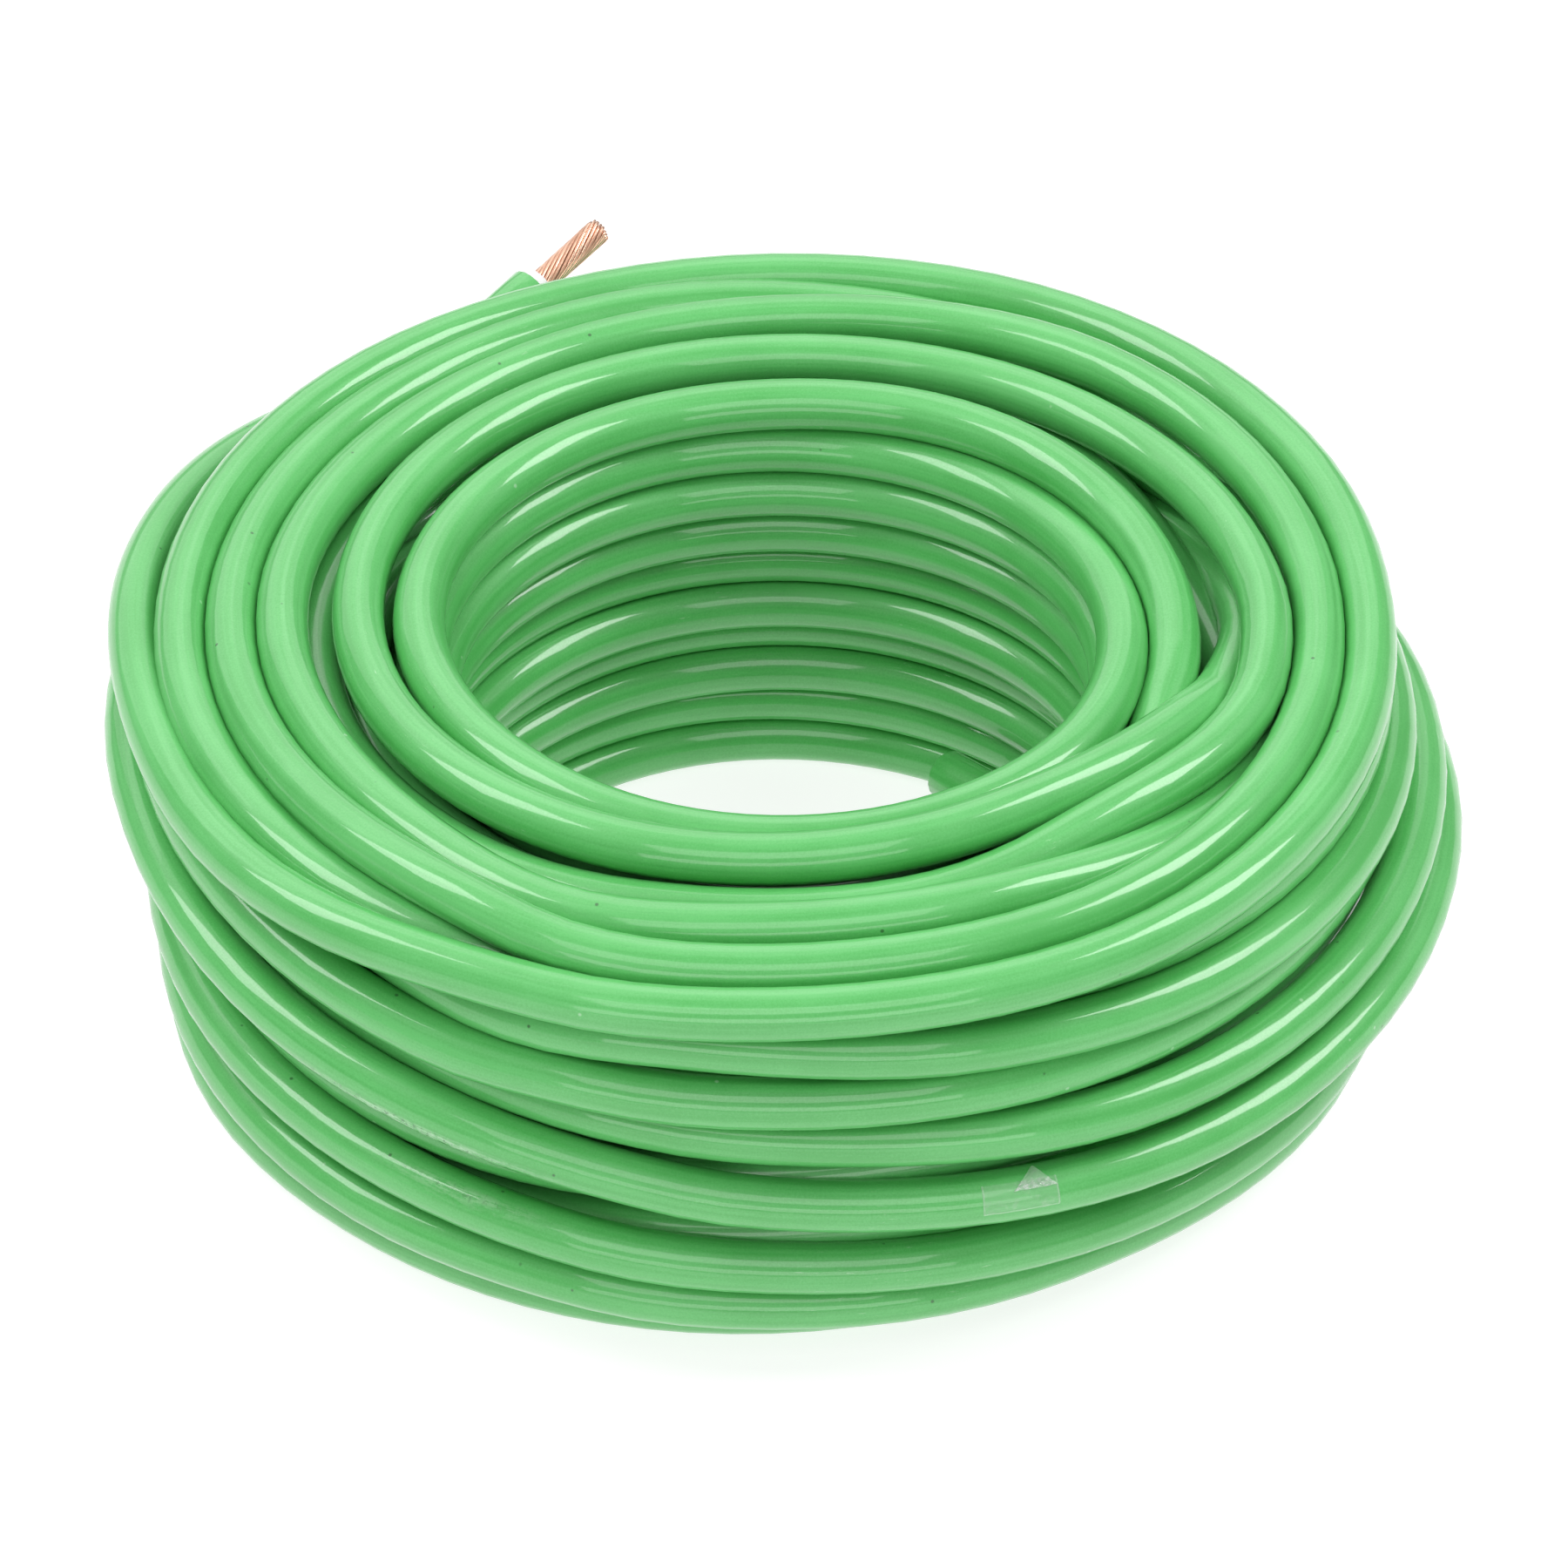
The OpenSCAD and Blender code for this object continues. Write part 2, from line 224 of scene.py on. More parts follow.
def wound_route(rings, settling):
    """The winding as (turns, distance out, height) at equal angles: a curve through the turns that show
    and rough places of those that don't, after which every two turns that overlap in one upright cut
    through the coil push each other apart, the hidden ones more easily, and none sinks below the floor."""
    points = []

    def add(first, rows, weight):
        points.extend((first + turn, out, up, weight) for turn, out, up in rows)

    def add_hidden(first, layer):
        turns, out, low, high = HIDDEN_TURNS[layer]
        add(first, [(n, out, low + (high - low) * n / (turns - 1)) for n in range(turns)], HOLD_HIDDEN)
        return first + turns

    add(0, INNER_COLUMN, HOLD_WALL)
    add(0, INNER_TOP, HOLD_SEEN)
    second = add_hidden(add_hidden(10, 0), 1)
    add(second, SECOND_TOP, HOLD_SEEN)
    third = add_hidden(add_hidden(second + 2, 2), 3)
    add(third, THIRD_TOP, HOLD_SEEN)
    outside = add_hidden(third + 2, 4)
    add(outside, OUTSIDE, HOLD_SEEN)
    route = np.array(points)
    last = int(round((outside + OUTSIDE[-1][0]) * rings)) + 1
    turns = math.ceil(last / rings)
    at = np.arange(last) / rings
    goal = through(at, route[:, 0], route[:, 1:3])
    hold = np.zeros(turns * rings)
    hold[:last] = np.interp(at, route[:, 0], route[:, 3])
    out = np.full(turns * rings, np.nan)
    up = np.zeros(turns * rings)
    out[:last], up[:last] = goal.T
    out[last:] = 1000 + 50 * np.arange(turns * rings - last)    # past the wire's end, out of reach
    aim_out, aim_up = out.copy(), up.copy()
    hidden = hold[:last] < 0.05
    # how far out, how far in and how high a hidden turn may go, from the front round to the front again
    widest = np.interp(at % 1, [0, 0.25, 0.5, 0.75, 1], [10.1, 11.0, 11.2, 11.4, 10.1])
    narrowest = np.interp(at % 1, [0, 0.25, 0.5, 0.75, 1], [7.4, 7.8, 8.2, 8.1, 7.4])
    highest = np.interp(at % 1, [0, 0.3, 0.4, 0.72, 0.8, 1], [7.4, 7.9, 6.4, 6.4, 7.1, 7.4])
    # of two turns that overlap, the one that is held less moves more
    light = (1 / (1 + 20 * hold)).reshape(turns, rings)
    share = light[:, None] / (light[:, None] + light[None])
    for step in range(settling):
        pull = hold * (0.5 if step < settling * 0.8 else 0.15)    # the last fifth of the steps pulls less
        out += pull * (aim_out - out)
        up += pull * (aim_up - up)
        for place, aim in ((out, aim_out), (up, aim_up)):
            moved = (place - aim)[:last]
            moved[1:-1] += 0.25 * (moved[:-2] + moved[2:] - 2 * moved[1:-1])
            place[:last] = aim[:last] + moved
        for _ in range(2):
            a, b = out.reshape(turns, rings), up.reshape(turns, rings)
            across, above = a[:, None] - a[None], b[:, None] - b[None]
            apart = np.sqrt(across**2 + above**2) + 1e-9
            over = np.maximum(TOUCHING - apart, 0)
            over[np.arange(turns), np.arange(turns)] = 0
            push = 0.9 * share * over / apart
            ease = np.sqrt(np.maximum((over > 0).sum(1), 1))
            out = out + ((push * across).sum(1) / ease).ravel()
            up = np.maximum(up + ((push * above).sum(1) / ease).ravel(), 0.5)
            out[:last] = np.where(hidden, np.clip(out[:last], narrowest, widest), out[:last])
            up[:last] = np.where(hidden, np.minimum(up[:last], highest), up[:last])
    places = np.stack([out[:last], up[:last]], 1)
    return at, *eased(places, np.clip(1 - hold[:last] / 0.45, 0, 1), 40).T, outside


def whole_route(sizes):
    """The centreline of the whole wire from the inner cut to the outer cut, in metres, with the number
    of turns at each point: the winding, led out at both ends along the free ends' points."""
    turns, out, up, outside = wound_route(sizes.rings, sizes.settling)
    angle = -math.pi / 2 - 2 * math.pi * turns
    coil = np.stack([out * np.cos(angle), out * np.sin(angle), up], 1) * sizes.wire

    def led(route):
        """The points of a free end, in metres."""
        turn, far, high = np.array(route, float).T
        turn = np.radians(turn)
        return np.stack([far * np.cos(turn), far * np.sin(turn), high], 1) * sizes.wire

    inner = led(INNER_ROUTE)[::-1]
    heading = np.array(INNER_HEADING)
    inner = np.concatenate([[inner[0] + heading * INNER_STRAIGHT, inner[0] + heading * INNER_STRAIGHT / 2], inner])
    outer = led(OUTER_ROUTE)
    heading = np.array(OUTER_HEADING)
    cut = np.array(OUTER_CUT) * sizes.wire
    outer = np.concatenate([outer, [cut - heading * OUTER_STRAIGHT, cut - heading * OUTER_STRAIGHT / 2, cut]])
    line = np.concatenate([inner, coil, outer])
    number = np.concatenate([np.linspace(-0.4, -0.02, len(inner)), turns,
                             turns[-1] + np.linspace(0.02, 0.2, len(outer))])
    far = np.concatenate([[0], np.cumsum(np.linalg.norm(np.diff(line, axis=0), axis=1))])
    begin, end = far[len(inner)], far[-len(outer) - 1]
    at = np.concatenate([np.linspace(0, begin, 36)[:-1], far[len(inner):-len(outer)],
                         np.linspace(end, far[-1], 40)[1:]])
    # the places that are eased: both joins with the winding, and the bend before the outer straight end
    join = sum(np.exp(-((at - place) / reach) ** 2)
               for place, reach in ((begin, 0.03), (end, 0.03), (far[-1] - OUTER_STRAIGHT - 0.01, 0.009)))
    return eased(through(at, far, line), np.clip(join * 2, 0, 1), 12), np.interp(at, far, number), outside


def frames(line):
    """The direction of a line at each point, the level direction across it and the one that is square to
    both: the direction is the mean of the two pieces that meet at the point."""
    along = np.empty_like(line)
    along[1:-1] = line[2:] - line[:-2]
    along[0], along[-1] = line[1] - line[0], line[-1] - line[-2]
    along /= np.linalg.norm(along, axis=1)[:, None]
    side = np.cross(along, [0.0, 0.0, 1.0])
    side /= np.linalg.norm(side, axis=1)[:, None]
    return along, side, np.cross(side, along)


def swept(centres, side, over, radius, sides):
    """Rings of points round a line: the centre plus the radius times cosine across and sine over."""
    turn = (np.arange(sides) * 2 * math.pi / sides)[:, None]
    radius = np.broadcast_to(np.asarray(radius, float), (len(centres),))[:, None, None]
    return centres[:, None] + radius * (np.cos(turn) * side[:, None] + np.sin(turn) * over[:, None])


def ring_faces(count, sides, first=0):
    """The four-cornered faces between neighbouring rings, wound so that they look outwards."""
    i = np.arange(count - 1)[:, None] * sides + first
    j = np.arange(sides)[None]
    k = (j + 1) % sides
    return np.stack([i + j, i + sides + j, i + sides + k, i + k], 2).reshape(-1, 4)


def make_mesh(name, points, quads, triangles=(), smooth=True):
    """A mesh object at the origin from arrays of corners."""
    mesh = bpy.data.meshes.new(name)
    quads = np.asarray(quads, int).reshape(-1, 4)
    triangles = np.asarray(triangles, int).reshape(-1, 3)
    corners = np.concatenate([quads.ravel(), triangles.ravel()]).astype(np.int32)
    starts = np.concatenate([np.arange(len(quads)) * 4, len(quads) * 4 + np.arange(len(triangles)) * 3])
    mesh.vertices.add(len(points))
    mesh.vertices.foreach_set("co", np.asarray(points, np.float32).ravel())
    mesh.loops.add(len(corners))
    mesh.loops.foreach_set("vertex_index", corners)
    mesh.polygons.add(len(starts))
    mesh.polygons.foreach_set("loop_start", starts.astype(np.int32))
    mesh.polygons.foreach_set("use_smooth", np.full(len(starts), smooth))
    mesh.update(calc_edges=True)
    mesh.validate()
    piece = bpy.data.objects.new(name, mesh)
    bpy.context.scene.collection.objects.link(piece)
    return piece


def store(piece, name, kind, values):
    """Keeps one value, or one vector, for each point of a mesh."""
    layer = piece.data.attributes.new(name, kind, "POINT")
    layer.data.foreach_set("vector" if kind == "FLOAT_VECTOR" else "value",
                           np.asarray(values, np.float32).ravel())


# ------------------------------------------------------------------ shader sums

class Value:
    """A socket that sums can be written with. Each operator adds one Math node."""

    def __init__(self, net, socket):
        self.net, self.socket = net, socket

    def _math(self, operation, a, b):
        return self.net.node("ShaderNodeMath", {"operation": operation}, {0: a, 1: b})

    def __add__(self, other):
        return self._math("ADD", self, other)

    def __radd__(self, other):
        return self._math("ADD", other, self)

    def __sub__(self, other):
        return self._math("SUBTRACT", self, other)

    def __rsub__(self, other):
        return self._math("SUBTRACT", other, self)

    def __mul__(self, other):
        return self._math("MULTIPLY", self, other)


class Net:
    """The nodes of one material."""

    def __init__(self, name):
        self.material = bpy.data.materials.new(name)
        self.material.use_nodes = True
        self.tree = self.material.node_tree
        self.tree.nodes.clear()

    def node(self, kind, settings=None, values=None, out=0):
        """Adds a node of one type, sets its settings, then its sockets to numbers or links."""
        made = self.tree.nodes.new(kind)
        for key, value in (settings or {}).items():
            setattr(made, key, value)
        for key, value in (values or {}).items():
            socket = made.inputs[key]
            if isinstance(value, Value):
                self.tree.links.new(value.socket, socket)
            else:
                socket.default_value = value
        return Value(self, made.outputs[out])

    def noise(self, vector, scale, detail, roughness, distortion=0.0):
        """Fractal noise."""
        return self.node("ShaderNodeTexNoise", {}, {"Vector": vector, "Scale": scale, "Detail": detail,
                                                    "Roughness": roughness, "Distortion": distortion})

    def stretched(self, vector, scale):
        """A vector times a scale of its own in each direction."""
        return self.node("ShaderNodeMapping", {}, {"Vector": vector, "Scale": scale})

    def attribute(self, name, out):
        """What the mesh keeps for each of its points: a vector from out 1 and a value from out 2."""
        return self.node("ShaderNodeAttribute", {"attribute_name": name}, out=out)

    def place(self):
        """The place on the piece, in metres."""
        return self.node("ShaderNodeTexCoord", out=3)

    def ramp(self, value, low, high):
        """0 below low and 1 above high, smooth between."""
        return self.node("ShaderNodeMapRange", {"interpolation_type": "SMOOTHSTEP"},
                         {"Value": value, "From Min": low, "From Max": high})

    def mix(self, share, a, b):
        """A colour between two."""
        return self.node("ShaderNodeMix", {"data_type": "RGBA"}, {0: share, 6: a, 7: b}, out=2)

    def finish(self, shader):
        """Links the shader to the material's output."""
        made = self.tree.nodes.new("ShaderNodeOutputMaterial")
        self.tree.links.new(shader.socket, made.inputs["Surface"])
        return self.material


def rgba(colour):
    """A colour of the panel with full alpha."""
    return (colour[0], colour[1], colour[2], 1.0)


def skin_material(colours):
    """Satin green PVC: faint drawn streaks along the wire, soft cloudy patches, dust and dark specks,
    short scuffs, and whitened tracks where the mesh asks for them: one a rubbed scuff, one part scuff and part
    painted highlight."""
    net = Net("green_pvc_skin")
    place, lay, track = net.place(), net.attribute("lay", 1), net.attribute("track", 2)
    streak = net.noise(net.stretched(lay, (3.2, 3.2, 0.12)), 1.0, 4.0, 0.6)
    cloud = net.noise(place, 55.0, 3.0, 0.55)
    fine = net.noise(place, 900.0, 4.0, 0.6)
    grain = net.noise(place, 3500.0, 2.0, 0.6)
    specks = {"Vector": place, "Scale": 300.0, "Randomness": 1.0}
    dust = net.node("ShaderNodeTexVoronoi", {"feature": "F1"}, specks)
    dust_pick = net.node("ShaderNodeTexVoronoi", {"feature": "F1"}, specks, out=1)
    pick = net.node("ShaderNodeSeparateColor", {}, {"Color": dust_pick}, out=0)
    pick_dark = net.node("ShaderNodeSeparateColor", {}, {"Color": dust_pick}, out=1)
    dot = 1 - net.ramp(dust, 0.05, 0.11)
    pale = dot * net.ramp(pick, 0.95, 0.96) * 0.35
    dark = (1 - net.ramp(dust, 0.045, 0.10)) * net.ramp(pick_dark, 0.88, 0.90) * 0.85
    scrape = net.noise(net.stretched(lay, (9.0, 9.0, 2.2)), 1.0, 6.0, 0.7)
    where = net.noise(place, 38.0, 2.0, 0.5)
    scuff = net.ramp(scrape, 0.62, 0.70) * net.ramp(where, 0.58, 0.68) * 0.35
    # the whitened tracks from the mesh: the first a rubbed scuff, the second part scuff and part painted highlight
    rubbed = track * net.ramp(scrape + fine * 0.5, 0.66, 0.84) * 0.85
    ticks = net.noise(net.stretched(lay, (3.0, 3.0, 9.0)), 1.0, 5.0, 0.75)
    tick = track * net.ramp(ticks, 0.56, 0.61) * 0.85
    depth = net.ramp(streak * 0.45 + cloud * 0.3 + grain * 0.25, 0.36, 0.64)
    base = net.mix(depth, rgba(colours.skin_deep), rgba(colours.skin))
    base = net.mix(pale + scuff, base, rgba(colours.scuff))
    # the tracks whitened into the colour, the second with a painted highlight along the top of its turn
    base = net.mix(rubbed * 0.75, base, rgba(colours.scuff))
    base = net.mix(dark + tick, base, rgba(colours.dirt))
    rough = 0.36 + cloud * 0.12 + streak * 0.08 + (scuff + rubbed) * 0.3 + pale * 0.2
    coat = 0.95 - (scuff + rubbed) * 0.5 - pale * 0.3 - cloud * 0.25
    bump = net.node("ShaderNodeBump", {}, {
        "Strength": 0.18, "Distance": 0.00025,
        "Height": streak * 0.6 + cloud * 0.7 + fine * 0.10 + (scuff + rubbed) * 0.5 + dot * 0.3})
    return net.finish(net.node("ShaderNodeBsdfPrincipled", {}, {
        "Base Color": base, "Roughness": rough, "Normal": bump, "IOR": 1.5, "Specular IOR Level": 0.5,
        "Coat Weight": coat, "Coat Roughness": 0.07}))


def insulation_material(colours):
    """Matt white PVC with a slightly torn, chalky cut."""
    net = Net("white_pvc_insulation")
    place = net.place()
    chalk = net.noise(place, 1600.0, 4.0, 0.6)
    smear = net.noise(place, 420.0, 2.0, 0.5)
    base = net.mix(net.ramp(smear, 0.45, 0.75) * 0.5, rgba(colours.insulation), rgba(colours.smear))
    bump = net.node("ShaderNodeBump", {}, {"Strength": 0.5, "Distance": 0.00012, "Height": chalk})
    return net.finish(net.node("ShaderNodeBsdfPrincipled", {}, {
        "Base Color": base, "Roughness": 0.55 + chalk * 0.15, "Normal": bump, "IOR": 1.5}))


def copper_material(colours):
    """Drawn copper wire: fine lines along each strand, some strands duller than others."""
    net = Net("drawn_copper")
    drawn = net.noise(net.stretched(net.attribute("lay", 1), (6.0, 6.0, 0.35)), 1.0, 4.0, 0.65)
    patch = net.noise(net.place(), 420.0, 3.0, 0.6)
    tone = net.attribute("tone", 2)
    dull = net.ramp(patch * 0.5 + drawn * 0.25 + tone * 0.45, 0.42, 0.82)
    base = net.mix(dull, rgba(colours.copper), rgba(colours.copper_dull))
    bump = net.node("ShaderNodeBump", {}, {"Strength": 0.25, "Distance": 0.00004, "Height": drawn})
    return net.finish(net.node("ShaderNodeBsdfPrincipled", {}, {
        "Base Color": base, "Roughness": 0.26 + dull * 0.18, "Metallic": 1.0, "Normal": bump}))


def tape_material(colours):
    """Clear tape: nearly invisible where it lies flat, milky and shiny at creases and edges. Its sheet has
    a face and a back, so each lets through more than the two together do."""
    net = Net("clear_tape")
    edge = net.attribute("edge", 2)
    crease = net.noise(net.place(), 700.0, 4.0, 0.7, 1.5)
    milky = net.ramp(crease, 0.52, 0.70)
    alpha = 0.046 + edge * 0.155 + milky * 0.08
    bump = net.node("ShaderNodeBump", {}, {"Strength": 0.6, "Distance": 0.0003, "Height": crease})
    return net.finish(net.node("ShaderNodeBsdfPrincipled", {}, {
        "Base Color": rgba(colours.tape), "Roughness": 0.10 + milky * 0.12, "Alpha": alpha, "Normal": bump,
        "IOR": 1.49, "Specular IOR Level": 0.7}))


def dress(piece, material):
    """Gives a finished piece its material and rides it on the coil's one body."""
    piece.data.materials.append(material)
    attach(piece, "root")


# ------------------------------------------------------------------ operators

class COIL_OT_camera(bpy.types.Operator):
    """Sets the camera in front of the coil, looking down at it"""
    bl_idname = "coil.camera"
    bl_label = "Camera"

    def execute(self, context):
        elevation = math.radians(CAMERA_ELEVATION)
        wire = context.scene.coil_sizes.wire
        target = Vector(CAMERA_TARGET) * wire
        distance = CAMERA_DISTANCE * wire
        data = bpy.data.cameras.new("camera")
        data.sensor_width = 36.0
        data.lens = CAMERA_LENS
        data.clip_start, data.clip_end = 0.01, 30.0
        camera = bpy.data.objects.new("camera", data)
        context.scene.collection.objects.link(camera)
        camera.location = target + distance * Vector((0, -math.cos(elevation), math.sin(elevation)))
        camera.rotation_euler = (math.pi / 2 - elevation, 0, 0)
        context.scene.camera = camera
        return {"FINISHED"}


class COIL_OT_wire(bpy.types.Operator):
    """Makes the wire as one tube from its inner cut to its outer cut"""
    bl_idname = "coil.wire"
    bl_label = "Wire"

    def execute(self, context):
        sizes, colours = context.scene.coil_sizes, context.scene.coil_colours
        line, number, outside = whole_route(sizes)
        along, side, over = frames(line)
        sides, radius, inner = sizes.sides, sizes.wire / 2, sizes.insulation / 2
        rings = swept(line, side, over, radius, sides)
        far = np.concatenate([[0], np.cumsum(np.linalg.norm(np.diff(line, axis=0), axis=1))])

        def mouth(i, sign):
            """The cut end of the skin: its rounded rim, its wall and the floor of its bore."""
            # each step is (distance past the line's end, radius)
            steps = [(0.00012, radius - 0.0001), (0.00016, inner + 0.0001), (0.0, inner), (-BORE, inner)]
            centres = np.array([line[i] + sign * along[i] * step for step, _ in steps])
            return swept(centres, side[[i] * RIM_RINGS], over[[i] * RIM_RINGS], [r for _, r in steps], sides)

        first, last = mouth(0, -1)[::-1], mouth(-1, 1)
        points = np.concatenate([first, rings, last])
        count = len(points)
        place = np.pad(far, RIM_RINGS, "edge")
        points = points.reshape(-1, 3)
        hubs = np.array([line[0] + along[0] * BORE, line[-1] - along[-1] * BORE])
        j = np.arange(sides)
        k = (j + 1) % sides
        end = (count - 1) * sides
        caps = np.concatenate([
            np.stack([j, k, np.full(sides, count * sides)], 1),
            np.stack([end + k, end + j, np.full(sides, count * sides + 1)], 1)])
        piece = make_mesh("wire", np.concatenate([points, hubs]), ring_faces(count, sides), caps)
        turn = np.broadcast_to(j * 2 * math.pi / sides, (count, sides))
        lay = np.stack([np.cos(turn), np.sin(turn), np.broadcast_to((place / sizes.wire)[:, None], turn.shape)], 2)
        store(piece, "lay", "FLOAT_VECTOR",
              np.concatenate([lay.reshape(-1, 3), [[0, 0, 0], [0, 0, far[-1] / sizes.wire]]]))
        run = np.pad(number, RIM_RINGS, "edge") - outside
        # the whitened tracks round the wire: the first a rubbed scuff, the second partly a painted highlight
        rub_and_sheen = 0
        for middle, reach, way, share in RUBBED_AND_SHEEN:
            strip = np.clip(1 - np.abs(run - middle) / reach, 0, 1)[:, None]
            off = np.abs(np.angle(np.exp(1j * (turn - math.radians(way)))))
            rub_and_sheen = rub_and_sheen + share * strip * np.clip(1.2 - off / 0.3, 0, 1)
        store(piece, "track", "FLOAT", np.concatenate([np.clip(rub_and_sheen * 1.6, 0, 1).ravel(), [0, 0]]))
        dress(piece, skin_material(colours))
        nodes = [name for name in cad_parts
                 if name.startswith("winding_layer") or name.endswith(("_turn", "_tail", "_end_skin"))]
        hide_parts(*nodes)
        for key, i, sign in (("inner", 0, -1), ("outer", -1, 1)):
            context.scene[f"coil_{key}"] = [*line[i], *(sign * along[i]), *side[i], *over[i]]
        return {"FINISHED"}


def cut_end(scene, key):
    """The centre of a cut of the skin, the way out of it and the two directions across."""
    values = np.array(scene[f"coil_{key}"])
    return values[0:3], values[3:6], values[6:9], values[9:12]


class COIL_OT_insulation(bpy.types.Operator):
    """Makes the white insulation that shows at both cuts"""
    bl_idname = "coil.insulation"
    bl_label = "Insulation"

    def execute(self, context):
        sizes, colours = context.scene.coil_sizes, context.scene.coil_colours
        material = insulation_material(colours)
        sides = 40
        bore = 3.58 * sizes.strand      # just wide enough for the bundle of strands
        outer = sizes.insulation / 2 - 0.00003
        for key, step in (("inner", 0.0), ("outer", sizes.step)):
            cut, out, side, over = cut_end(context.scene, key)
            # the outline of its wall as (distance past the skin's cut, radius), closed
            shape = [(-0.0013, bore), (-0.0013, outer), (step - 0.00012, outer), (step - 0.00003, outer - 0.00008),
                     (step, outer - 0.0002), (step, bore + 0.0001), (step - 0.0001, bore), (-0.0013, bore)]
            far, radius = np.array(shape).T
            centres = cut + far[:, None] * out
            count = len(shape)
            rings = swept(centres, np.tile(side, (count, 1)), np.tile(over, (count, 1)), radius, sides)
            turn = np.arange(sides) * 2 * math.pi / sides
            ragged = 0.00012 * (np.sin(3 * turn + 1) + 0.6 * np.sin(7 * turn) + 0.4 * np.sin(13 * turn + 2))
            rings[3:7] += (ragged * (1 if step else 0.3))[None, :, None] * out
            # the last ring is the first one again, so its corners are the first one's
            faces = ring_faces(count, sides) % ((count - 1) * sides)
            if np.dot(np.cross(side, over), out) > 0:
                faces = faces[:, ::-1]
            piece = make_mesh(f"{key}_insulation", rings[:-1].reshape(-1, 3), faces)
            dress(piece, material)
            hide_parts(f"{key}_end_insulation")
        return {"FINISHED"}


def strand_shapes(sizes, cut, out, side, over, ring, start, stop, seed):
    """The strands of one ring as tubes: each follows a left-hand helix round the wire's line, the
    bundle opens a little towards its end, and each strand strays by a small slow wave."""
    number = max(6 * ring, 1)
    sides, steps = 10, 30   # of one strand's surface, round it and along it
    pick = np.random.default_rng(seed)
    shift = pick.uniform(-1, 1, (number, 6))
    points, faces, caps, lay, tone = [], [], [], [], []
    first = 0
    for n in range(number):
        reach = stop - 0.0005 * abs(shift[n, 0]) - 0.00035 * (ring / 3) ** 2
        far = np.linspace(start, reach, steps)
        grow = 1 + 0.05 * np.clip(far / stop, 0, 1) ** 2
        distance = ring * sizes.strand * grow * (1 + 0.012 * shift[n, 1] * np.sin(far * 300 + shift[n, 2] * 3))
        angle = (2 * math.pi * (n / number - far / sizes.lay)
                 + 0.03 * shift[n, 3] * np.sin(far * 250 + shift[n, 4] * 3))
        centres = (cut + far[:, None] * out + distance[:, None]
                   * (np.cos(angle)[:, None] * side + np.sin(angle)[:, None] * over))
        along = np.gradient(centres, axis=0)
        along /= np.linalg.norm(along, axis=1)[:, None]
        a = np.cross(along, over)
        a /= np.linalg.norm(a, axis=1)[:, None]
        b = np.cross(a, along)
        radius = np.full(steps, sizes.strand * 0.492)   # a little under half, so that neighbours don't touch
        radius[-1] *= 0.72                              # the rounded end
        centres[-1] += along[-1] * sizes.strand * 0.1
        rings = swept(centres, a, b, radius, sides)
        points.append(rings.reshape(-1, 3))
        points.append([centres[0], centres[-1] + along[-1] * sizes.strand * 0.06])
        faces.append(ring_faces(steps, sides, first))
        j = np.arange(sides)
        k = (j + 1) % sides
        hub = first + steps * sides
        caps.append(np.stack([first + j, first + k, np.full(sides, hub)], 1))
        caps.append(np.stack([hub - sides + k, hub - sides + j, np.full(sides, hub + 1)], 1))
        turn = np.broadcast_to(j * 2 * math.pi / sides, (steps, sides))
        grain = np.stack([np.cos(turn), np.sin(turn),
                          np.broadcast_to((far / sizes.strand + 40 * shift[n, 5])[:, None], turn.shape)], 2)
        lay.append(np.concatenate([grain.reshape(-1, 3), np.zeros((2, 3))]))
        tone.append(np.full(steps * sides + 2, abs(shift[n, 5])))
        first = hub + 2
    return (np.concatenate(points), np.concatenate(faces), np.concatenate(caps), np.concatenate(lay),
            np.concatenate(tone))


class COIL_OT_strands(bpy.types.Operator):
    """Makes the copper strands of the stripped outer end and the ones that show in the inner cut"""
    bl_idname = "coil.strands"
    bl_label = "Strands"

    def execute(self, context):
        sizes, colours = context.scene.coil_sizes, context.scene.coil_colours
        material = copper_material(colours)

        def bundle(key, stop, seed):
            """The core and the three rings of strands at one cut."""
            cut, out, side, over = cut_end(context.scene, key)
            if np.dot(np.cross(side, over), out) < 0:
                side = -side
            return [strand_shapes(sizes, cut, out, side, over, ring, STRAND_START, stop, seed + ring)
                    for ring in range(4)]

        def copper(name, shapes, node):
            """Makes one piece of some rings of strands."""
            starts = np.cumsum([0] + [len(points) for points, *_ in shapes])
            piece = make_mesh(name, np.concatenate([shape[0] for shape in shapes]),
                              np.concatenate([shape[1] + start for shape, start in zip(shapes, starts)]),
                              np.concatenate([shape[2] + start for shape, start in zip(shapes, starts)]))
            store(piece, "lay", "FLOAT_VECTOR", np.concatenate([shape[3] for shape in shapes]))
            store(piece, "tone", "FLOAT", np.concatenate([shape[4] for shape in shapes]))
            dress(piece, material)
            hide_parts(node)

        nodes = ["core_strand", "strand_layer_1", "strand_layer_2", "strand_layer_3"]
        for node, shape in zip(nodes, bundle("outer", sizes.step + sizes.bare, 11)):
            copper(f"{node}_wires", [shape], node)
        copper("inner_strands", bundle("inner", 0.0002, 31), "inner_end_strands")
        return {"FINISHED"}


def wire_line(sizes):
    """The centres of the wire's rings, without the ones at its cuts and the two points of its end walls."""
    wire = bpy.data.objects["wire"]
    flat = np.empty(len(wire.data.vertices) * 3, np.float32)
    wire.data.vertices.foreach_get("co", flat)
    return flat[:-6].reshape(-1, sizes.sides, 3)[RIM_RINGS:-RIM_RINGS].astype(float).mean(1)


